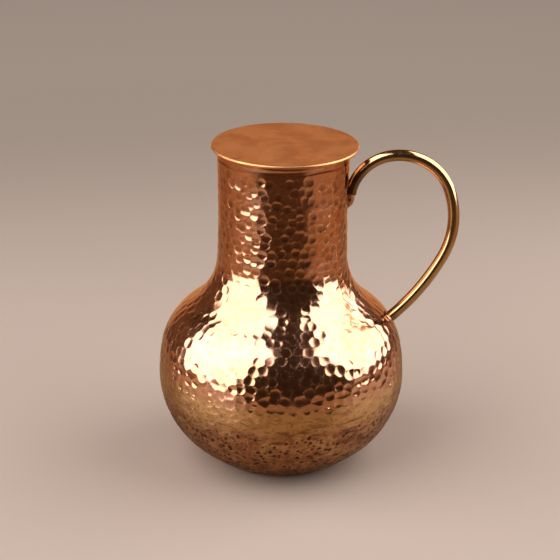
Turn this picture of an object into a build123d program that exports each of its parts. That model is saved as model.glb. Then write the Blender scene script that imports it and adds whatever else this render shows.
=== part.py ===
"""Hammered copper water jug with a brass rod handle and a lift-off lid.

The body is two raised copper shells, a bowl and an upper body, brazed together at the belly.
Millimetres, +Z up, the origin in the middle of the base, the handle on the +X side.
"""
import os
from math import cos, radians, sin

from build123d import *

# ---------------------------------------------------------------- body
WALL = 1.0  # copper sheet
BASE_R = 40.0  # the flat that the jug stands on
BASE_SLOPE = 31.0  # how steeply the bowl leaves that flat, in degrees
BELLY_R = 80.0  # widest radius

# the outline's arcs from the base up: radius, turn in degrees
BOWL_FLARE = (156.0, 8.0)  # flat arc just above the base
BELLY_BAND = (108.0, 10.2)  # nearly upright, just above the widest point
SHOULDER = (43.3, 45.0)
THROAT = (43.0, -53.2)  # hollow, where the shoulder becomes the neck
NECK = (877.0, -4.3)  # very slightly waisted
MOUTH = (150.0, -2.6)  # flares a little
RIM_ROUND = 0.35  # rounded corners of the mouth's cut edge

# the seam of the two shells, filled flush with brass
SEAM_Z = 57.5
SEAM_HEIGHT = 15.0
SEAM_DEPTH = WALL / 2

# ---------------------------------------------------------------- handle
ROD_R = 3.75
FOOT_X = 69.35  # the rod's axis where it meets the shoulder
FOOT_Z = 95.8
FOOT_SLOPE = 41.9  # the rod's heading there, in degrees above level
FOOT_SINK = 4.0  # extra rod, trimmed off by the shoulder
# the rod's bends from the shoulder up and over to the neck: radius, turn in degrees
ROD_BENDS = ((152.0, 20.8), (54.4, 20.6), (57.7, 27.4), (34.0, 78.1), (30.6, 72.4))

# rounded tail of brass under the rod's upper end: distance below that end, radius of the section,
# and how far the section's middle has moved in towards the neck
NECK_BRAZE_SECTIONS = ((0.0, 3.7, 0.0), (6.0, 3.3, 0.3), (12.5, 1.2, 3.4))
FOOT_BRAZE_RISE = 2.0  # thin fillet of brass round the rod's foot
FOOT_BRAZE_SINK = 2.0
FOOT_BRAZE_LENGTH = ROD_R + 2.8
FOOT_BRAZE_WIDTH = ROD_R + 1.9
FOOT_BRAZE_LIP = 0.2

# ---------------------------------------------------------------- lid
LID_R = 46.8
LID_PLATE = 1.2
LID_EDGE = 2.2  # the edge is turned under to this thickness
LID_HEM_WIDTH = 2.4
LID_SHIFT = 0.9  # the lid rests a little off centre, towards the handle
COLLAR_R = 38.6  # outside of the ring that plugs the mouth
COLLAR_WALL = 1.0
COLLAR_DEPTH = 11.0
COLLAR_BRAZE = 1.4  # leg of the fillet between ring and lid

REACH = 250.0  # longer than the jug, for cutting shapes

FROM_AXIS_UP = (Align.MIN, Align.MIN)
FROM_AXIS_DOWN = (Align.MIN, Align.MAX)


# ---------------------------------------------------------------- outline and sections of the body
bowl_angle = BASE_SLOPE + BOWL_FLARE[1]
bowl_start = BASE_R + BOWL_FLARE[0] * (sin(radians(bowl_angle)) - sin(radians(BASE_SLOPE)))
BOWL = ((BELLY_R - bowl_start) / (1 - sin(radians(bowl_angle))), 90 - bowl_angle)

with BuildLine() as outline:
    edge = Line((0, 0), (BASE_R, 0))
    heading = Vector(cos(radians(BASE_SLOPE)), sin(radians(BASE_SLOPE)))
    for arc_r, turn in (BOWL_FLARE, BOWL, BELLY_BAND, SHOULDER, THROAT, NECK, MOUTH):
        edge = JernArc(edge @ 1, heading, arc_r, turn)
        heading = edge % 1
rim = edge @ 1  # outer corner of the mouth: radius, height


def wall_section(thickness):
    """Half section of the body's wall, from its outside face inwards."""
    with BuildSketch() as section:
        with BuildLine():
            add(outline.line)
            offset(amount=thickness, side=Side.LEFT)
        make_face()
    return section.sketch


whole_wall = wall_section(WALL)

with BuildSketch() as seam_section:
    add(wall_section(SEAM_DEPTH))
    with Locations((0, SEAM_Z - SEAM_HEIGHT / 2)):
        Rectangle(REACH, SEAM_HEIGHT, align=FROM_AXIS_UP, mode=Mode.INTERSECT)

# everything inside the body's outside face, which trims what is brazed on to it
with BuildPart() as envelope:
    with BuildSketch(Plane.XZ):
        with BuildLine():
            add(outline.line)
            Polyline(rim, (0, rim.Y), (0, 0))
        make_face()
    revolve(axis=Axis.Z)

# ---------------------------------------------------------------- lower_bowl
with BuildPart() as lower_bowl:
    with BuildSketch(Plane.XZ):
        add(whole_wall)
        with Locations((0, SEAM_Z)):
            Rectangle(REACH, REACH, align=FROM_AXIS_DOWN, mode=Mode.INTERSECT)
        add(seam_section.sketch, mode=Mode.SUBTRACT)
    revolve(axis=Axis.Z)

# ---------------------------------------------------------------- upper_body
with BuildPart() as upper_body:
    with BuildSketch(Plane.XZ) as upper_section:
        add(whole_wall)
        with Locations((0, SEAM_Z)):
            Rectangle(REACH, REACH, align=FROM_AXIS_UP, mode=Mode.INTERSECT)
        add(seam_section.sketch, mode=Mode.SUBTRACT)
        fillet(upper_section.vertices().sort_by(Axis.Y)[-2:], RIM_ROUND)
    revolve(axis=Axis.Z)

# ---------------------------------------------------------------- belly_seam_braze
with BuildPart() as belly_seam_braze:
    with BuildSketch(Plane.XZ):
        add(seam_section.sketch)
    revolve(axis=Axis.Z)

# ---------------------------------------------------------------- handle_rod
foot = Vector(FOOT_X, 0, FOOT_Z)
foot_heading = Vector(cos(radians(FOOT_SLOPE)), 0, sin(radians(FOOT_SLOPE)))

with BuildLine(Plane.XZ) as rod_route:
    bend = Line(foot - foot_heading * FOOT_SINK, foot)
    for bend_r, bend_turn in ROD_BENDS:
        bend = JernArc(bend @ 1, bend % 1, bend_r, bend_turn)

with BuildPart() as handle_rod:
    with BuildSketch(rod_route.line ^ 0):
        Circle(ROD_R)
    sweep(path=rod_route.line)
    add(envelope.part, mode=Mode.SUBTRACT)

# ---------------------------------------------------------------- handle_upper_braze
rod_end = Plane(origin=bend @ 1, x_dir=(0, 1, 0), z_dir=bend % 1)

with BuildPart() as handle_upper_braze:
    for below, section_r, lean in NECK_BRAZE_SECTIONS:
        level = rod_end.offset(below)
        level.origin -= Vector(lean, 0, 0)
        with BuildSketch(level):
            Circle(section_r)
    loft()
    add(envelope.part, mode=Mode.SUBTRACT)

# ---------------------------------------------------------------- handle_lower_braze
across_wall = Plane(origin=foot, x_dir=(0, 1, 0), z_dir=foot_heading)

with BuildPart() as handle_lower_braze:
    with BuildSketch(across_wall.offset(-FOOT_BRAZE_SINK)):
        Ellipse(FOOT_BRAZE_WIDTH, FOOT_BRAZE_LENGTH)
    with BuildSketch(across_wall.offset(FOOT_BRAZE_RISE)):
        Circle(ROD_R + FOOT_BRAZE_LIP)
    loft()
    add(envelope.part, mode=Mode.SUBTRACT)
    add(handle_rod.part, mode=Mode.SUBTRACT)

# ---------------------------------------------------------------- lid
lid_bottom = upper_body.part.bounding_box().max.Z
lid_top = lid_bottom + LID_PLATE
collar_bottom = lid_bottom - COLLAR_DEPTH
collar_inside = COLLAR_R - COLLAR_WALL
lid_plane = Plane(origin=(LID_SHIFT, 0, 0), x_dir=(1, 0, 0), z_dir=(0, -1, 0))
lid_axis = Axis((LID_SHIFT, 0, 0), (0, 0, 1))

with BuildPart() as lid_disc:
    with BuildSketch(lid_plane) as lid_section:
        with Locations((0, lid_bottom)):
            Rectangle(LID_R, LID_PLATE, align=FROM_AXIS_UP)
        with Locations((LID_R - LID_HEM_WIDTH, lid_top)):
            Rectangle(LID_HEM_WIDTH, LID_EDGE, align=FROM_AXIS_DOWN)
        fillet(lid_section.vertices().group_by(Axis.X)[-1], LID_EDGE * 0.45)
    revolve(axis=lid_axis)

with BuildPart() as lid_collar:
    with BuildSketch(lid_plane):
        with Locations((collar_inside, collar_bottom)):
            Rectangle(COLLAR_WALL, COLLAR_DEPTH, align=FROM_AXIS_UP)
    revolve(axis=lid_axis)

with BuildPart() as lid_collar_braze:
    with BuildSketch(lid_plane):
        with BuildLine():
            corner = Polyline(
                (collar_inside, lid_bottom - COLLAR_BRAZE),
                (collar_inside, lid_bottom),
                (collar_inside - COLLAR_BRAZE, lid_bottom),
            )
            RadiusArc(corner @ 0, corner @ 1, COLLAR_BRAZE)
        make_face()
    revolve(axis=lid_axis)

# ---------------------------------------------------------------- files
PIECES = {
    "lower_bowl": lower_bowl,
    "upper_body": upper_body,
    "belly_seam_braze": belly_seam_braze,
    "handle_rod": handle_rod,
    "handle_upper_braze": handle_upper_braze,
    "handle_lower_braze": handle_lower_braze,
    "lid_disc": lid_disc,
    "lid_collar": lid_collar,
    "lid_collar_braze": lid_collar_braze,
}

os.makedirs("parts", exist_ok=True)
for piece_name, piece in PIECES.items():
    piece.part.label = piece_name
    export_step(piece.part, f"parts/{piece_name}.step")

print(f"mouth at radius {rim.X:.2f}, height {lid_bottom:.2f}; lid top {lid_top:.2f}")
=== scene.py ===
"""Hammered copper water jug with a brass rod handle and a lift-off lid: the visual model.

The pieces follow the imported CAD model, in metres, +Z up, the handle on the +X side. The body is
one hammered surface, cut into the three pieces that the CAD has: bowl, brass seam, upper body.
"""
from math import ceil, cos, pi, radians, sin, tau

import bpy
import numpy as np
from mathutils import Matrix, Vector


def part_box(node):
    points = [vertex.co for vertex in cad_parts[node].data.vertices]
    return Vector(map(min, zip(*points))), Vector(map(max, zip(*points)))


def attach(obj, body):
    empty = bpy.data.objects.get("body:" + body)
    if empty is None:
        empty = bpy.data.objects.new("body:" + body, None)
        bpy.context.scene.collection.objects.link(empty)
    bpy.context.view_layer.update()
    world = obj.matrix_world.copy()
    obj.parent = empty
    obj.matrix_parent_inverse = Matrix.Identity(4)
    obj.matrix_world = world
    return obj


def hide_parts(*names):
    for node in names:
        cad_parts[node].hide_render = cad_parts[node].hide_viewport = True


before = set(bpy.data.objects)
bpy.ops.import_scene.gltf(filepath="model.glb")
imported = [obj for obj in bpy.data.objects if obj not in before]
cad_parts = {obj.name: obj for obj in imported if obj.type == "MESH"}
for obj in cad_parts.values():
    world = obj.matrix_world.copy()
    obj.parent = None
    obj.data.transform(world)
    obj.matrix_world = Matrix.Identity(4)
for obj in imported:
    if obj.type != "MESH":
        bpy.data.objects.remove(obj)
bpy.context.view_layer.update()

MM = 0.001
rng = np.random.default_rng(11)

# ---------------------------------------------------------------- sizes, as in the CAD
WALL = 1.0 * MM
BASE_R = 40 * MM
BASE_SLOPE = radians(31)
BELLY_R = 80 * MM
BOWL_FLARE = (156 * MM, radians(8))  # radius, turn
UPPER_ARCS = (  # above the belly's widest point: radius, turn
    (108 * MM, radians(10.2)),  # belly
    (43.3 * MM, radians(45)),  # shoulder
    (43 * MM, radians(-53.2)),  # throat
    (877 * MM, radians(-4.3)),  # neck
    (150 * MM, radians(-2.6)),  # mouth
)
RIM_ROUND = 0.35 * MM
SEAM_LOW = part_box("belly_seam_braze")[0].z
SEAM_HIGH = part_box("belly_seam_braze")[1].z
RIM_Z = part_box("upper_body")[1].z

ROD_R = 3.75 * MM
ROD_FOOT = (69.35 * MM, 95.8 * MM)  # x, height
ROD_SLOPE = radians(41.9)
ROD_BENDS = (
    (152 * MM, radians(20.8)),
    (54.4 * MM, radians(20.6)),
    (57.7 * MM, radians(27.4)),
    (34 * MM, radians(78.1)),
    (30.6 * MM, radians(72.4)),
)

LID_PLATE = 1.2 * MM
LID_HEM = 2.4 * MM  # width of the edge that is turned under

# ---------------------------------------------------------------- finer than in the CAD
SHOULDER_LOW = 91 * MM  # where the blows become shallower
NECK_LOW = 146 * MM  # where they become smaller
ROD_TOP = (42.7 * MM, 181 * MM)  # about where the rod meets the neck
LID_DISH = 0.12 * MM  # how far the middle of the lid is sunk

# the filler under the rod's upper end, in millimetres: distances below that end, and there its
# radius, or how far its middle has moved in towards the neck
NECK_BRAZE_RADIUS = ((0, 6, 12.5), (3.7, 3.3, 1.2))
NECK_BRAZE_LEAN = ((0, 3, 6, 9, 12.5), (0, 0.1, 0.3, 1.6, 3.4))

# ---------------------------------------------------------------- mesh density
STEP = 0.62 * MM  # between rows of the hammered surface
COLUMNS = 720
INSIDE_COLUMNS = COLUMNS // 4
INSIDE_EVERY = 3  # rows of the outside for one row of the inside
ROD_STEP = 0.8 * MM
ROD_COLUMNS = 64
LID_COLUMNS = 240


# ---------------------------------------------------------------- objects
def add_object(name, data):
    obj = bpy.data.objects.new(name, data)
    bpy.context.scene.collection.objects.link(obj)
    return obj


# ---------------------------------------------------------------- meshes made of rings
class Shell:
    """Rings of points joined into a skin, from one end to the other."""

    def __init__(self):
        self.points, self.normals, self.marks, self.faces = [], [], [], []
        self.first = self.last = self.turn = None

    def ring(self, points, normals=None, marks=None):
        """Adds a ring and joins it to the one before, which may have more or fewer points.

        Marks hold, for each point, how dark it is from tarnish and painted shade, how scuffed it
        is, and a 0.
        """
        start = len(self.points)
        self.points.extend(map(tuple, points))
        self.normals.extend(np.zeros((len(points), 3)) if normals is None else normals)
        self.marks.extend(np.zeros((len(points), 3)) if marks is None else marks)
        new = (start, len(points))
        if self.last:
            self.join(self.last, new)
        self.first = self.first or new
        self.last = new

    def turn_inside(self):
        """Faces from here on lie inside the vessel."""
        self.turn = len(self.faces)

    def join(self, a, b):
        """Joins two rings whose counts are equal or one a multiple of the other."""
        if a[1] == b[1]:
            n = a[1]
            self.faces += [
                (a[0] + i, a[0] + (i + 1) % n, b[0] + (i + 1) % n, b[0] + i) for i in range(n)
            ]
            return
        wide, narrow, turned = (a, b, False) if a[1] > b[1] else (b, a, True)
        each = wide[1] // narrow[1]
        for i in range(narrow[1]):
            near, far = narrow[0] + i, narrow[0] + (i + 1) % narrow[1]
            w = [wide[0] + (i * each + k) % wide[1] for k in range(each + 1)]
            half = each // 2
            fan = [(w[k], w[k + 1], near) for k in range(half)]
            fan.append((w[half], far, near))
            fan += [(w[k], w[k + 1], far) for k in range(half, each)]
            self.faces += [f[::-1] for f in fan] if turned else fan

    def cap(self, centre, ring=None, turned=False):
        """Closes a ring with a point in its middle."""
        start, n = ring or self.last
        self.points.append(tuple(centre))
        self.normals.append((0, 0, 0))
        self.marks.append((0, 0, 0))
        c = len(self.points) - 1
        for i in range(n):
            face = (start + i, start + (i + 1) % n, c)
            self.faces.append(face[::-1] if turned else face)

    def shade(self, mesh):
        """Gives the faces between rings that have normals exactly those, so that no cut shows."""
        normals = np.array(self.normals, np.float32)
        if not normals.any():
            return
        corners, starts = np.empty(len(mesh.loops), int), np.empty(len(mesh.polygons), int)
        mesh.loops.foreach_get("vertex_index", corners)
        mesh.polygons.foreach_get("loop_start", starts)
        known = np.minimum.reduceat(normals[corners].any(1).astype(int), starts)
        counts = np.diff(np.append(starts, len(corners)))
        mesh.normals_split_custom_set(normals[corners] * np.repeat(known, counts)[:, None])

    def piece(self, name, material, body, slot, *nodes):
        """The smooth-shaded object, riding on its body in place of its CAD nodes."""
        mesh = bpy.data.meshes.new(name)
        mesh.from_pydata(self.points, [], self.faces)
        mesh.polygons.foreach_set("use_smooth", np.ones(len(mesh.polygons), bool))
        mesh.materials.append(material)
        if self.turn is not None:
            mesh.materials.append(INSIDE_METAL)
            inside = np.arange(len(mesh.polygons)) >= self.turn
            mesh.polygons.foreach_set("material_index", inside.astype(np.int32))
        mesh.update()
        self.shade(mesh)
        marks = np.array(self.marks, np.float32)
        if marks.any():
            mesh.attributes.new("marks", "FLOAT_VECTOR", "POINT")
            mesh.attributes["marks"].data.foreach_set("vector", marks.ravel())
        obj = add_object(name, mesh)
        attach(obj, body)
        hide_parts(*nodes)


def circle(r, z, count, x=0.0):
    """A level ring of points."""
    a = np.arange(count) / count * tau
    return np.stack((x + r * np.cos(a), r * np.sin(a), np.full(count, z)), 1)


def blend(x, low, high):
    """0 below low, 1 above high, and smooth between."""
    t = np.clip((x - low) / (high - low), 0, 1)
    return t * t * (3 - 2 * t)


def along_arcs(start, heading, arcs, step):
    """Points along tangent arcs: x, height, heading and length so far."""
    (x, z), length, rows = start, 0.0, []
    for radius, turn in arcs:
        side = 1 if turn > 0 else -1
        middle_x = x - side * radius * sin(heading)
        middle_z = z + side * radius * cos(heading)
        arc = radius * abs(turn)
        count = ceil(arc / step)
        for k in range(count + 1):
            a = heading + turn * k / count
            rows.append((middle_x + side * radius * sin(a), middle_z - side * radius * cos(a), a,
                         length + arc * k / count))
        x, z, heading, length = rows.pop()
    rows.append((x, z, heading, length))
    return np.array(rows)


# ---------------------------------------------------------------- hammering
AROUND, UPWARDS = 1.12, 0.93  # spacing of blows in a ring and between rings, in gaps
DENT_POWER = 0.7  # under 1, which makes the edge of a dent steep
DENT_SHADE_DROP = 0.35  # the dark mark in a dent is painted this far below its middle, as a share of its size: painted shade on that side of the dent
FULL_SCUFF = 0.25 * MM  # a dent of this depth or more is fully scuffed at its edge


class Hammering:
    """The body's outside: its outline, and how far inside it each point lies."""

    def __init__(self):
        flare_top = BASE_SLOPE + BOWL_FLARE[1]
        bowl_start = BASE_R + BOWL_FLARE[0] * (sin(flare_top) - sin(BASE_SLOPE))
        bowl = ((BELLY_R - bowl_start) / (1 - sin(flare_top)), pi / 2 - flare_top)
        self.rows = along_arcs((BASE_R, 0.0), BASE_SLOPE, (BOWL_FLARE, bowl, *UPPER_ARCS), STEP)
        self.radius, self.height, self.heading, self.along = self.rows.T
        self.angle = np.arange(COLUMNS) / COLUMNS * tau
        self.depth = np.zeros((len(self.rows), COLUMNS))
        self.marks = np.zeros((len(self.rows), COLUMNS, 3))  # tarnish with painted shade, scuffing, 0

    def at_height(self, z):
        """Length along the outline at a height."""
        return float(np.interp(z, self.height, self.along))

    def row(self, z):
        """The first row at or above a height."""
        return int(np.searchsorted(self.height, z))

    def blow(self, along, angle, size, depth, stretch, tarnish_and_shade):
        """One dent, round or longer around the body, steepest and scuffed at its edge, and
        darkened below its middle by tarnish and painted shade.
        """
        r = float(np.interp(along, self.along, self.radius))
        near = np.flatnonzero(np.abs(self.along - along) < size)
        reach = int(ceil(size * stretch / r / tau * COLUMNS)) + 1
        middle = int(round(angle / tau * COLUMNS))
        columns = np.arange(middle - reach, middle + reach + 1)
        across = (columns / COLUMNS * tau - angle) * r / stretch
        up = self.along[near, None] - along
        cap = np.clip(1 - (across[None, :] ** 2 + up**2) / size**2, 0, 1)
        # the dark mark: tarnish in the hollow, shifted below the middle as painted shade on the
        # dent's lower side
        below = up + DENT_SHADE_DROP * size
        low = np.clip(1 - (across[None, :] ** 2 + below**2) / size**2, 0, 1)
        new = np.zeros((*cap.shape, 3))
        new[..., 0] = tarnish_and_shade * np.minimum(low, 3 * cap)
        new[..., 1] = (1 - cap) ** 4 * min(1, depth / FULL_SCUFF)
        dent = depth * cap**DENT_POWER
        window = np.ix_(near, columns % COLUMNS)
        deeper = dent > self.depth[window]
        self.depth[window] = np.maximum(self.depth[window], dent)
        self.marks[window] = np.where(deeper[..., None], new, self.marks[window])

    def rings(self, low, high, gap, sizes, depths, jitter, tarnish_and_shade, keep=1.0, stretch=1.0):
        """Rings of blows between two heights, each blow placed one by one.

        Sizes are radii. Jitter is in gaps, and keep is the share of blows that are struck.
        """
        along, top = self.at_height(low), self.at_height(high)
        while along < top:
            r = float(np.interp(along, self.along, self.radius))
            count = int(round(tau * r / (gap * AROUND * stretch)))
            start = rng.uniform(0, tau)
            for i in range(count):
                shift = rng.normal(0, jitter, 2) * gap
                size, deep, chance = rng.uniform(*sizes), rng.uniform(*depths), rng.random()
                if chance < keep:
                    angle = i / count * tau + start + shift[0] / r
                    self.blow(along + shift[1], angle, size, deep, stretch, tarnish_and_shade * chance)
            along += gap * UPWARDS

    def crease(self, z, width, depth):
        """An uneven line pressed in around the body, deep in some places and lost in others, and
        darkened along its length as painted shade.
        """
        drift = 0.5 * MM * (np.sin(3 * self.angle + 1) + np.sin(7 * self.angle + 2))
        strength = np.clip(0.55 + 0.6 * np.sin(2 * self.angle + 4) * np.sin(5 * self.angle), 0, 1)
        far = (self.along[:, None] - self.at_height(z) - drift) / width
        line = np.clip(1 - np.abs(far), 0, 1) * strength
        self.depth = np.maximum(self.depth, depth * line)
        # painted shade along the line, carried in the marks' first channel
        self.marks[..., 0] = np.maximum(self.marks[..., 0], 1.6 * line)

    def soften(self):
        """Evens each point out a little with its neighbours, as polishing does."""
        d = self.depth
        d = (np.roll(d, 1, 1) + 6 * d + np.roll(d, -1, 1)) / 8
        d[1:-1] = (d[:-2] + 6 * d[1:-1] + d[2:]) / 8
        self.depth = d

    def waves(self, count, lengths, height):
        """Slow unevenness left from raising the sheet."""
        total = np.zeros_like(self.depth)
        for _ in range(count):
            wave, turn, phase = rng.uniform(*lengths), rng.uniform(0, pi), rng.uniform(0, tau)
            around = round(tau * BELLY_R * 0.75 / wave * cos(turn))
            rise = tau / wave * sin(turn)
            total += np.sin(around * self.angle[None, :] + rise * self.along[:, None] + phase)
        total = (total - total.min()) / (total.max() - total.min())
        self.depth += total * height

    def set(self):
        """Works out the finished surface: a point and a normal for each row and column."""
        r = self.radius[:, None] - self.depth * np.sin(self.heading)[:, None]
        z = self.height[:, None] + self.depth * np.cos(self.heading)[:, None]
        self.points = np.stack((r * np.cos(self.angle), r * np.sin(self.angle), z), 2)
        around = np.roll(self.points, -1, 1) - np.roll(self.points, 1, 1)
        normals = np.cross(around, np.gradient(self.points, axis=0))
        self.normals = normals / np.linalg.norm(normals, axis=2, keepdims=True)

    def ring(self, k):
        """The points, normals and marks of one row of the finished surface."""
        return self.points[k], self.normals[k], self.marks[k]

    def inside(self, k, depth):
        """A plain ring at a depth below the outline."""
        return circle(self.radius[k] - depth * sin(self.heading[k]),
                      self.height[k] + depth * cos(self.heading[k]), INSIDE_COLUMNS)


def hammer_body():
    """The whole outside, hammered zone by zone."""
    body = Hammering()
    # the upper body, from just above the brass seam to the smooth strip under the mouth
    body.rings(SEAM_HIGH + 1 * MM, SHOULDER_LOW, gap=6.2 * MM,
               sizes=(3.0 * MM, 3.7 * MM), depths=(0.20 * MM, 0.52 * MM), jitter=0.15, tarnish_and_shade=0.5)
    body.rings(SHOULDER_LOW + 4 * MM, NECK_LOW, gap=6.2 * MM,
               sizes=(2.9 * MM, 3.7 * MM), depths=(0.10 * MM, 0.34 * MM), jitter=0.17, tarnish_and_shade=0.4)
    body.rings(NECK_LOW + 3 * MM, RIM_Z - 10 * MM, gap=5.5 * MM,
               sizes=(2.7 * MM, 3.6 * MM), depths=(0.12 * MM, 0.38 * MM), jitter=0.22, tarnish_and_shade=0.7)
    # the seam, planished nearly smooth
    body.rings(SEAM_LOW - 1 * MM, SEAM_HIGH + 1 * MM, gap=5.5 * MM,
               sizes=(1.6 * MM, 3.0 * MM), depths=(0.10 * MM, 0.30 * MM), jitter=0.4, tarnish_and_shade=0.5,
               keep=0.8, stretch=1.5)
    body.rings(SEAM_LOW - 3 * MM, SEAM_HIGH - 2 * MM, gap=3.8 * MM,
               sizes=(0.7 * MM, 1.2 * MM), depths=(0.10 * MM, 0.22 * MM), jitter=0.5, tarnish_and_shade=2.4,
               keep=0.45)
    # the bowl: broad soft blows, and small sharp pits over them
    body.rings(4 * MM, SEAM_LOW - 2 * MM, gap=5.0 * MM,
               sizes=(2.0 * MM, 3.0 * MM), depths=(0.16 * MM, 0.34 * MM), jitter=0.35, tarnish_and_shade=0.7)
    body.rings(5 * MM, SEAM_LOW - 3 * MM, gap=3.3 * MM,
               sizes=(0.9 * MM, 2.1 * MM), depths=(0.30 * MM, 0.55 * MM), jitter=0.45, tarnish_and_shade=2.8,
               keep=0.85)
    body.crease(RIM_Z - 6.6 * MM, width=0.9 * MM, depth=0.14 * MM)
    body.soften()
    body.waves(24, lengths=(16 * MM, 50 * MM), height=0.32 * MM)
    # the foot and the mouth are true
    from_foot = blend(body.height, 0.3 * MM, 4 * MM)
    to_mouth = 1 - blend(body.height, RIM_Z - 5 * MM, RIM_Z - 3 * MM)
    body.depth *= (from_foot * to_mouth)[:, None]
    body.set()
    return body


# ---------------------------------------------------------------- materials
class Nodes:
    """A node tree, with short calls for noise, ranges and mixes."""

    def __init__(self, tree, coordinates):
        self.tree = tree
        self.place = self.add("ShaderNodeTexCoord").outputs[coordinates]

    def add(self, kind, **settings):
        node = self.tree.nodes.new(kind)
        for key, value in settings.items():
            setattr(node, key, value)
        return node

    def put(self, value, socket):
        """Sets a socket to a number or a colour, or links it to an output."""
        if isinstance(value, (int, float)):
            socket.default_value = value
        elif isinstance(value, tuple):
            socket.default_value = (*value, 1.0)
        else:
            self.tree.links.new(value, socket)

    def noise(self, size, detail, roughness=0.5, place=None):
        """Noise whose blotches are about this large, in metres."""
        node = self.add("ShaderNodeTexNoise")
        self.put(place or self.place, node.inputs["Vector"])
        node.inputs["Scale"].default_value = 1 / size
        node.inputs["Detail"].default_value = detail
        node.inputs["Roughness"].default_value = roughness
        return node.outputs["Fac"]

    def squeezed(self, x, y, z):
        """The place, scaled, for a pattern longer one way than another."""
        node = self.add("ShaderNodeMapping")
        self.put(self.place, node.inputs["Vector"])
        node.inputs["Scale"].default_value = (x, y, z)
        return node.outputs["Vector"]

    def axis(self, name, vector=None):
        """One axis of the place, or of another vector."""
        node = self.add("ShaderNodeSeparateXYZ")
        self.put(vector or self.place, node.inputs["Vector"])
        return node.outputs[name]

    def distance(self, point):
        """How far the place is from a point."""
        node = self.add("ShaderNodeVectorMath", operation="DISTANCE")
        self.put(self.place, node.inputs[0])
        node.inputs[1].default_value = point
        return node.outputs["Value"]

    def range(self, value, low, high, to_low=0.0, to_high=1.0, kind="SMOOTHSTEP"):
        node = self.add("ShaderNodeMapRange", interpolation_type=kind)
        self.put(value, node.inputs["Value"])
        for socket, number in (("From Min", low), ("From Max", high),
                               ("To Min", to_low), ("To Max", to_high)):
            node.inputs[socket].default_value = number
        return node.outputs["Result"]

    def math(self, operation, a, b):
        node = self.add("ShaderNodeMath", operation=operation)
        self.put(a, node.inputs[0])
        self.put(b, node.inputs[1])
        return node.outputs[0]

    def mix(self, share, a, b):
        node = self.add("ShaderNodeMix", data_type="RGBA")
        self.put(share, node.inputs["Factor"])
        self.put(a, node.inputs[6])
        self.put(b, node.inputs[7])
        return node.outputs[2]


class Metal(Nodes):
    """A metal whose colour and roughness vary from place to place."""

    def __init__(self, name):
        self.material = bpy.data.materials.new(name)
        self.material.use_nodes = True
        super().__init__(self.material.node_tree, "Object")
        self.shader = self.tree.nodes["Principled BSDF"]
        self.shader.inputs["Metallic"].default_value = 1.0

    def marks(self):
        """How dark the dents left the surface, from tarnish and painted shade, and how scuffed."""
        marks = self.add("ShaderNodeAttribute", attribute_name="marks").outputs["Vector"]
        return self.axis("X", marks), self.axis("Y", marks)

    def done(self, colour, roughness, bump, distance):
        self.put(colour, self.shader.inputs["Base Color"])
        self.put(roughness, self.shader.inputs["Roughness"])
        node = self.add("ShaderNodeBump")
        node.inputs["Strength"].default_value = 1.0
        node.inputs["Distance"].default_value = distance
        self.put(bump, node.inputs["Height"])
        self.put(node.outputs["Normal"], self.shader.inputs["Normal"])
        return self.material


COPPER = (0.84, 0.42, 0.22)
COPPER_PINK = (0.85, 0.45, 0.29)
COPPER_WORN = (0.90, 0.52, 0.27)
COPPER_BROWN = (0.66, 0.32, 0.17)
COPPER_DARK = (0.15, 0.055, 0.03)
GOLD = (0.90, 0.55, 0.25)
INSIDE_LIGHT, INSIDE_DARK = (0.62, 0.29, 0.17), (0.40, 0.17, 0.10)
ROD_LIGHT, ROD_DARK, ROD_HEAT_AND_SHADE = (0.72, 0.48, 0.23), (0.62, 0.39, 0.18), (0.12, 0.06, 0.025)
BRAZE_LIGHT, BRAZE_DARK = (0.74, 0.42, 0.22), (0.48, 0.24, 0.12)
LID_LIGHT, LID_DARK = (0.88, 0.42, 0.17), (0.72, 0.31, 0.12)


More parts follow.
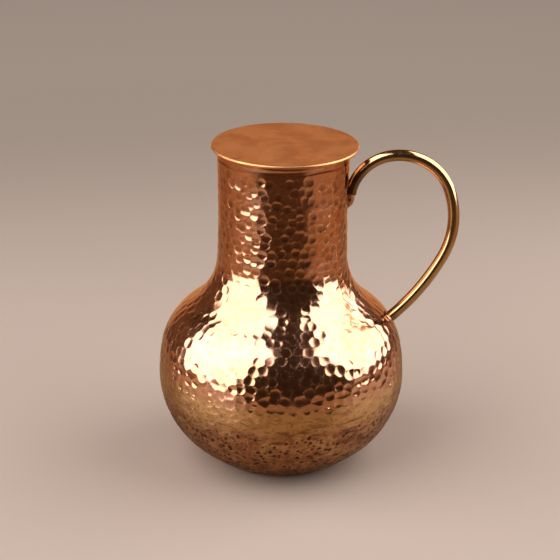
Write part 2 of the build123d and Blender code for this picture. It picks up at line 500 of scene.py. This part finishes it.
def body_metal():
    """Polished copper with the golden seam round the belly."""
    m = Metal("hammered_copper")
    tarnish_and_shade, scuffs = m.marks()
    drift = m.math("MULTIPLY", m.math("SUBTRACT", m.noise(50 * MM, 3), 0.5), 10 * MM)
    z = m.math("ADD", m.axis("Z"), drift)
    # pinkish above the seam, worn and browner on the bowl, gold between
    upper = m.mix(m.range(m.noise(26 * MM, 4), 0.35, 0.7), COPPER, COPPER_PINK)
    bowl = m.mix(m.range(m.noise(15 * MM, 5, 0.6), 0.4, 0.62), COPPER_WORN, COPPER_BROWN)
    colour = m.mix(m.range(z, SEAM_LOW, SEAM_LOW + 8 * MM), bowl, upper)
    seam = m.math("SUBTRACT", m.range(z, SEAM_LOW - 5 * MM, SEAM_LOW + 4 * MM, 0.0, 0.85),
                  m.range(z, SEAM_HIGH - 4 * MM, SEAM_HIGH + 5 * MM, 0.0, 0.85))
    colour = m.mix(seam, colour, GOLD)
    # stains: streaks and grain, mostly on the bowl; then the dents' marks, tarnish with painted
    # shade; then painted contact shadow round the foot
    dull = m.range(z, SEAM_LOW - 5 * MM, SEAM_HIGH + 10 * MM, 0.8, 0.25)
    streaks = m.range(m.noise(7 * MM, 5, 0.65, m.squeezed(0.6, 0.6, 1.8)), 0.46, 0.68)
    grain = m.range(m.noise(2.6 * MM, 4, 0.7, m.squeezed(0.8, 0.8, 1.5)), 0.5, 0.66)
    stain_and_shade = m.math("MULTIPLY", m.math("MAXIMUM", streaks, grain), dull)
    # the dents' marks: tarnish, with painted shade on each dent's lower side
    stain_and_shade = m.math("MAXIMUM", stain_and_shade, m.math("MULTIPLY", tarnish_and_shade, 0.85))
    # painted contact shadow: darker within a few millimetres of the floor, all round the foot
    stain_and_shade = m.math("MAXIMUM", stain_and_shade, m.range(m.axis("Z"), 0.6 * MM, 3.5 * MM, 1.0, 0.0))
    colour = m.mix(stain_and_shade, colour, COPPER_DARK)
    rough = m.math("ADD", m.range(m.noise(16 * MM, 4), 0.3, 0.7, 0.08, 0.14),
                   m.math("MULTIPLY", dull, 0.1))
    rough = m.math("ADD", rough, m.math("MULTIPLY", scuffs, 0.18))
    return m.done(colour, rough, m.noise(1.1 * MM, 2), 0.004 * MM)


def inside_metal():
    """Duller copper, as it is where no polishing wheel reaches."""
    m = Metal("inside_copper")
    colour = m.mix(m.range(m.noise(20 * MM, 5, 0.6), 0.35, 0.7), INSIDE_LIGHT, INSIDE_DARK)
    rough = m.range(m.noise(12 * MM, 4), 0.3, 0.7, 0.3, 0.45)
    return m.done(colour, rough, m.noise(3.5 * MM, 2), 0.25 * MM)


def rod_metal():
    """Satin brass, darkened near both of its ends: at its foot by the heat of brazing, near its
    top by painted shade, a painted dark reflection where the rod meets the neck.
    """
    m = Metal("handle_brass")
    colour = m.mix(m.range(m.noise(18 * MM, 4), 0.35, 0.7), ROD_LIGHT, ROD_DARK)
    # painted shade near the top end, in place of the dark reflection from the neck
    top_painted_shade = m.range(m.distance((ROD_TOP[0], 0, ROD_TOP[1])), 9 * MM, 30 * MM, 0.8, 0.0)
    foot_heat = m.range(m.distance((ROD_FOOT[0], 0, ROD_FOOT[1])), 3.5 * MM, 9 * MM, 0.6, 0.0)
    colour = m.mix(m.math("MAXIMUM", top_painted_shade, foot_heat), colour, ROD_HEAT_AND_SHADE)
    rough = m.range(m.noise(3.3 * MM, 3), 0.3, 0.7, 0.12, 0.2)
    return m.done(colour, rough, m.noise(0.7 * MM, 2), 0.002 * MM)


def braze_metal():
    """Uneven filler, as brazing leaves it."""
    m = Metal("joint_brass")
    colour = m.mix(m.range(m.noise(2.5 * MM, 4), 0.35, 0.65), BRAZE_LIGHT, BRAZE_DARK)
    rough = m.range(m.noise(1.4 * MM, 3), 0.3, 0.7, 0.1, 0.24)
    return m.done(colour, rough, m.noise(1.1 * MM, 3), 0.03 * MM)


def lid_metal():
    """Satin copper with soft blotches."""
    m = Metal("lid_copper")
    colour = m.mix(m.range(m.noise(17 * MM, 6, 0.6), 0.38, 0.62), LID_LIGHT, LID_DARK)
    rough = m.range(m.noise(12 * MM, 4), 0.3, 0.7, 0.36, 0.46)
    return m.done(colour, rough, m.noise(0.7 * MM, 2), 0.004 * MM)


BODY_METAL = body_metal()
INSIDE_METAL = inside_metal()
ROD_METAL = rod_metal()
BRAZE_METAL = braze_metal()
LID_METAL = lid_metal()


# ---------------------------------------------------------------- body
def body_pieces(body):
    """Bowl, brass seam and upper body, each a closed skin, meeting along two rows."""
    low, high, top = body.row(SEAM_LOW), body.row(SEAM_HIGH), len(body.rows) - 1
    middle = (low + high) // 2
    step = INSIDE_EVERY

    bowl = Shell()
    bowl.ring(circle(BASE_R * 0.15, 0.0, COLUMNS))
    bowl.cap((0, 0, 0), turned=True)
    for share in (0.5, 0.9):
        bowl.ring(circle(BASE_R * share, 0.0, COLUMNS))
    for k in range(low + 1):
        bowl.ring(*body.ring(k))
    for k in range(low, middle + 1, step):
        bowl.ring(body.inside(k, WALL / 2))
    bowl.turn_inside()
    for k in range(middle, 0, -step):
        bowl.ring(body.inside(k, WALL))
    bowl.ring(circle(BASE_R * 0.5, WALL, INSIDE_COLUMNS))
    bowl.cap((0, 0, WALL))
    bowl.piece("bowl", BODY_METAL, "jug", "hammered_copper", "lower_bowl")

    seam = Shell()
    for k in range(low, high + 1):
        seam.ring(*body.ring(k))
    for k in range(high, low, -step):
        seam.ring(body.inside(k, WALL / 2))
    seam.ring(body.inside(low, WALL / 2))
    seam.join(seam.last, seam.first)
    seam.piece("seam", BODY_METAL, "jug", "seam_brass", "belly_seam_braze")

    upper = Shell()
    for k in range(high, top - 1):
        upper.ring(*body.ring(k))
    mouth_rings(upper, body)
    upper.turn_inside()
    for k in range(top - 1, middle, -step):
        upper.ring(body.inside(k, WALL))
    for k in range(middle, high, step):
        upper.ring(body.inside(k, WALL / 2))
    upper.join(upper.last, upper.first)
    upper.piece("upper_shell", BODY_METAL, "jug", "hammered_copper", "upper_body")


def mouth_rings(upper, body):
    """The mouth's cut edge, both of its corners rounded."""
    r, z, heading, _ = body.rows[-1]
    for corner, turns in ((RIM_ROUND, (0, 30, 60, 90)), (WALL - RIM_ROUND, (90, 120, 150, 180))):
        for a in map(radians, turns):
            inwards = corner - RIM_ROUND * cos(a)
            down = RIM_ROUND * (1 - sin(a))
            upper.ring(circle(r - inwards * sin(heading) - down * cos(heading),
                              z + inwards * cos(heading) - down * sin(heading), COLUMNS))


# ---------------------------------------------------------------- handle
BITE = 0.4 * MM  # how far brazed pieces reach into the wall
CLEAR = 2.4 * MM  # along the rod from its foot, where it is clear of the wall all round
DROP = 0.1 * MM  # step in which points are moved down to the wall
MOST_DROPS = 60
BRAZE_ROWS = (0, 0.25, 0.6, 1, 1.4, *range(2, 13), 12.5)  # down the neck's filler, millimetres
FILLET_SPREAD = 1.3 * MM
FILLET_RISE = 1.5 * MM


def rod_ring(x, z, heading, radius):
    """A ring around the rod's line, at right angles to it."""
    a = np.arange(ROD_COLUMNS) / ROD_COLUMNS * tau
    out, across = radius * np.cos(a), radius * np.sin(a)
    return np.stack((x + out * sin(heading), across, z - out * cos(heading)), 1)


def ahead(heading):
    """The rod's direction."""
    return np.array((cos(heading), 0, sin(heading)))


def depth_inside(body, points):
    """How far points lie within the body's outline, measured level."""
    r = np.hypot(points[:, 0], points[:, 1])
    return np.interp(points[:, 2], body.height, body.radius) - r


def kept_out(body, points):
    """Points moved out, level, so that none lies deeper in the body's wall than BITE."""
    r = np.hypot(points[:, 0], points[:, 1])
    out = 1 + np.clip(depth_inside(body, points) - BITE, 0, None) / r
    return points * np.stack((out, out, np.ones_like(out)), 1)


def down_to_wall(body, points, heading):
    """Points moved back along the rod until they lie about BITE beneath the wall."""
    moved = points.copy()
    for _ in range(MOST_DROPS):
        above = depth_inside(body, moved) < BITE
        moved[above] -= ahead(heading) * DROP
    return moved


def handle(body):
    """The bent rod and the filler at both of its ends."""
    rows = along_arcs(ROD_FOOT, ROD_SLOPE, ROD_BENDS, ROD_STEP)
    x, z, heading, _ = rows[0]
    foot_ring = rod_ring(x, z, heading, ROD_R) + ahead(heading) * CLEAR
    foot = down_to_wall(body, foot_ring, heading)
    rod = Shell()
    rod.ring(foot)
    rod.cap(foot.mean(0), turned=True)
    for x, z, heading, length in rows[rows[:, 3] > CLEAR + 0.2 * MM]:
        # not quite even in thickness, and never thicker than in the CAD
        wear = 0.02 * MM + 0.03 * MM * (1 + sin(length * 210) * sin(length * 83 + 1))
        rod.ring(kept_out(body, rod_ring(x, z, heading, ROD_R - wear)))
    end = kept_out(body, rod_ring(x, z, heading, ROD_R * 0.94))
    rod.ring(end)
    rod.cap(end.mean(0))
    rod.piece("rod", ROD_METAL, "jug", "handle_brass", "handle_rod")
    neck_braze(body, rows[-1])
    foot_braze(body, rows[0])


def neck_braze(body, row):
    """The tail of filler under the rod's upper end, with a bright bead where it meets the rod."""
    x, z, heading, _ = row
    down = np.array(BRAZE_ROWS)
    lean = np.interp(down, *NECK_BRAZE_LEAN)
    bead = 0.2 * np.exp(-(((down - 0.6) / 0.4) ** 2))
    groove = 0.45 * np.exp(-(((down - 1.9) / 0.6) ** 2))
    radius = np.interp(down, *NECK_BRAZE_RADIUS) + bead - groove
    a = np.arange(ROD_COLUMNS) / ROD_COLUMNS * tau
    tail = Shell()
    for d, r, shift in zip(down, radius, lean):
        lumps = 0.05 * (1 + np.sin(3 * a + 0.9 * d) * np.sin(0.7 * d + a)) * min(1, d / 2)
        ring = rod_ring(x + (d * cos(heading) - shift) * MM, z + d * sin(heading) * MM, heading,
                        r * MM * (1 - lumps))
        tail.ring(kept_out(body, ring))
        if d == 0:
            tail.cap(ring.mean(0) + (0.5 * MM, 0, 0), turned=True)
    tail.cap(np.mean(tail.points[-ROD_COLUMNS:], 0))
    tail.piece("neck_braze", BRAZE_METAL, "jug", "joint_brass", "handle_upper_braze")


def foot_braze(body, row):
    """A thin, uneven fillet of filler round the rod's foot."""
    x, z, heading, _ = row
    a = np.arange(ROD_COLUMNS) / ROD_COLUMNS * tau
    uneven = 1 + 0.35 * np.sin(2 * a + 1) * np.sin(5 * a)
    along = ahead(heading)

    def on_wall(radius):
        ring = rod_ring(x, z, heading, radius) + along * CLEAR
        return down_to_wall(body, ring, heading)

    hidden = on_wall(ROD_R * 0.97)
    fillet = Shell()
    fillet.ring(hidden)
    for share in (0.0, 0.4, 0.75, 1.0):
        spread = (1 - share) ** 2 * FILLET_SPREAD * uneven
        up = 0.1 * MM + share * FILLET_RISE * uneven
        fillet.ring(on_wall(ROD_R + 0.05 * MM + spread) + np.outer(up, along))
    fillet.ring(hidden + np.outer(1.2 * MM * uneven, along))
    fillet.join(fillet.last, fillet.first)
    fillet.piece("foot_braze", BRAZE_METAL, "jug", "joint_brass", "handle_lower_braze")


# ---------------------------------------------------------------- lid
def lid():
    """The disc, sunk a little in the middle, with its round edge turned under."""
    low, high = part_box("lid_disc")
    middle_x, radius = (low.x + high.x) / 2, (high.x - low.x) / 2
    edge = (high.z - low.z) / 2
    underside = high.z - LID_PLATE
    disc = Shell()

    def ring(r, z):
        disc.ring(circle(r, z, LID_COLUMNS, middle_x))

    for share in np.linspace(0.06, 0.965, 24):
        ring(radius * share, high.z - LID_DISH * (1 - share**4))
    for a in np.linspace(0, pi, 13):
        ring(radius - edge + edge * sin(a), high.z - edge + edge * cos(a))
    ring(radius - LID_HEM, low.z)
    ring(radius - LID_HEM, underside)
    ring(radius * 0.5, underside)
    disc.cap((middle_x, 0, underside))
    disc.cap((middle_x, 0, high.z - LID_DISH), disc.first, turned=True)
    disc.piece("lid_plate", LID_METAL, "lid", "lid_copper", "lid_disc")


# ---------------------------------------------------------------- the jug's pieces
body = hammer_body()
body_pieces(body)
handle(body)
lid()
for node, metal in (("lid_collar", LID_METAL), ("lid_collar_braze", BRAZE_METAL)):
    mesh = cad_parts[node].data
    mesh.materials.clear()
    mesh.materials.append(metal)


# ---------------------------------------------------------------- floor, lights and camera
FLOOR_HALF = (40, 40)
FLOOR_COLOUR = (0.38, 0.31, 0.255)
FLOOR_GLOW = (0.365, 0.288, 0.24)
FLOOR_FADE = (0.4, 1.05)  # metres from the jug, where the lit floor gives way to the glow
GLOW_FADE = (0.8, 5.0)  # where the glow fades to the share that is left far away
FAR_GLOW = 0.2
TABLE_HALF = (0.34, 0.34)
TABLE_COLOUR = (0.33, 0.22, 0.12)
TABLE_Z = -0.2 * MM

LIGHT_COLOUR = (1.0, 0.97, 1.0)
LIGHT_TARGET = Vector((0, 0, 0.09))

# the studio's colours by direction; the camera looks towards the back
DARK = (0.035, 0.021, 0.012)
DARK_LOW = (0.075, 0.038, 0.018)
SIDES = (0.38, 0.205, 0.105)
BACK = (0.30, 0.14, 0.062)
BACK_HIGH = (0.13, 0.065, 0.035)
BACK_MIDDLE = (0.62, 0.31, 0.13)

CAMERA_PLACE = (0, -1.1, 0.55475)
CAMERA_DOWN = 0.3752  # radians below level
CAMERA_PAN = 0.0012
CAMERA_ROLL = 0.0115
LENS = 117.52
SENSOR_WIDTH = 36


def sheet(name, half_x, half_y, z, material):
    """A flat sheet of the studio, which is no part of the jug."""
    mesh = bpy.data.meshes.new(name)
    corners = [(x * half_x, y * half_y, z) for x, y in ((-1, -1), (1, -1), (1, 1), (-1, 1))]
    mesh.from_pydata(corners, [], [(0, 1, 2, 3)])
    mesh.materials.append(material)
    obj = add_object(name, mesh)
    return obj


def plain(name, colour, roughness, specular):
    """An even material."""
    material = bpy.data.materials.new(name)
    material.use_nodes = True
    shader = material.node_tree.nodes["Principled BSDF"]
    shader.inputs["Base Color"].default_value = (*colour, 1)
    shader.inputs["Roughness"].default_value = roughness
    shader.inputs["Specular IOR Level"].default_value = specular
    return material


def floor():
    """A pale floor, which turns into an even glow where the light of the soft boxes ends."""
    material = plain("pale_floor", FLOOR_COLOUR, 0.8, 0.0)
    shader = material.node_tree.nodes["Principled BSDF"]
    n = Nodes(material.node_tree, "Object")
    away = n.distance((0, 0, 0))
    lit = n.range(away, *FLOOR_FADE, 1.0, 0.0)
    n.put(n.mix(lit, (0.0, 0.0, 0.0), FLOOR_COLOUR), shader.inputs["Base Color"])
    glow = n.range(away, *GLOW_FADE, 1.0, FAR_GLOW, "LINEAR")
    glow = n.math("MULTIPLY", glow, n.math("SUBTRACT", 1.0, lit))
    n.put(glow, shader.inputs["Emission Strength"])
    n.put(FLOOR_GLOW, shader.inputs["Emission Color"])
    wide = sheet("floor", *FLOOR_HALF, 0.0, material)
    wide.visible_glossy = False
    wide.visible_shadow = False


def table():
    """The warmer floor that reflections see: only a table's worth, with the dim studio beyond."""
    obj = sheet("table", *TABLE_HALF, TABLE_Z, plain("table_floor", TABLE_COLOUR, 0.5, 0.75))
    obj.visible_camera = False
    obj.visible_diffuse = False


def softbox(name, azimuth, elevation, distance, width, height, brightness, roll=0.0):
    """A soft light facing the jug. Azimuth is from the camera's side, towards the handle."""
    light = bpy.data.lights.new(name, "AREA")
    light.shape = "RECTANGLE"
    light.size, light.size_y = width, height
    light.energy = brightness * width * height * pi
    light.color = LIGHT_COLOUR
    obj = add_object(name, light)
    a, e = radians(azimuth), radians(elevation)
    away = Vector((sin(a) * cos(e), -cos(a) * cos(e), sin(e)))
    place = LIGHT_TARGET + away * distance
    facing = away.to_track_quat("Z", "Y").to_matrix().to_4x4()
    obj.matrix_world = Matrix.Translation(place) @ facing @ Matrix.Rotation(radians(roll), 4, "Z")
    obj.visible_camera = False
    return obj


def studio():
    """The dim studio around: nearly black behind the camera and overhead, warm elsewhere."""
    world = bpy.data.worlds.new("studio")
    bpy.context.scene.world = world
    world.use_nodes = True
    n = Nodes(world.node_tree, "Generated")
    y, z = n.axis("Y"), n.axis("Z")
    low = n.range(z, -0.12, -0.24)
    around = n.mix(n.range(y, 0.1, 0.5), n.mix(low, DARK, SIDES), n.mix(low, BACK_HIGH, BACK))
    around = n.mix(n.range(y, -0.45, -0.8), around, n.mix(low, DARK, DARK_LOW))
    around = n.mix(n.range(z, 0.3, 0.65), around, DARK)
    around = n.mix(n.range(y, 0.8, 0.97), around, BACK_MIDDLE)
    n.put(around, n.tree.nodes["Background"].inputs["Color"])


def camera():
    """The camera, with a long lens and a slight roll."""
    data = bpy.data.cameras.new("camera")
    data.sensor_width = SENSOR_WIDTH
    data.lens = LENS
    obj = add_object("camera", data)
    obj.matrix_world = (
        Matrix.Translation(CAMERA_PLACE)
        @ Matrix.Rotation(CAMERA_PAN, 4, "Z")
        @ Matrix.Rotation(pi / 2 - CAMERA_DOWN, 4, "X")
        @ Matrix.Rotation(CAMERA_ROLL, 4, "Z")
    )
    bpy.context.scene.camera = obj
    bpy.context.scene.view_settings.view_transform = "Standard"


floor()
table()
studio()
overhead = softbox("overhead", azimuth=0, elevation=90, distance=2.6,
                   width=4.0, height=4.0, brightness=0.3)
overhead.visible_glossy = False
softbox("softbox_left", azimuth=-67, elevation=33, distance=0.9,
        width=1.3, height=1.56, brightness=3.3, roll=-7)
softbox("softbox_right", azimuth=93, elevation=34, distance=0.9,
        width=1.2, height=1.2, brightness=3.3, roll=9)
camera()
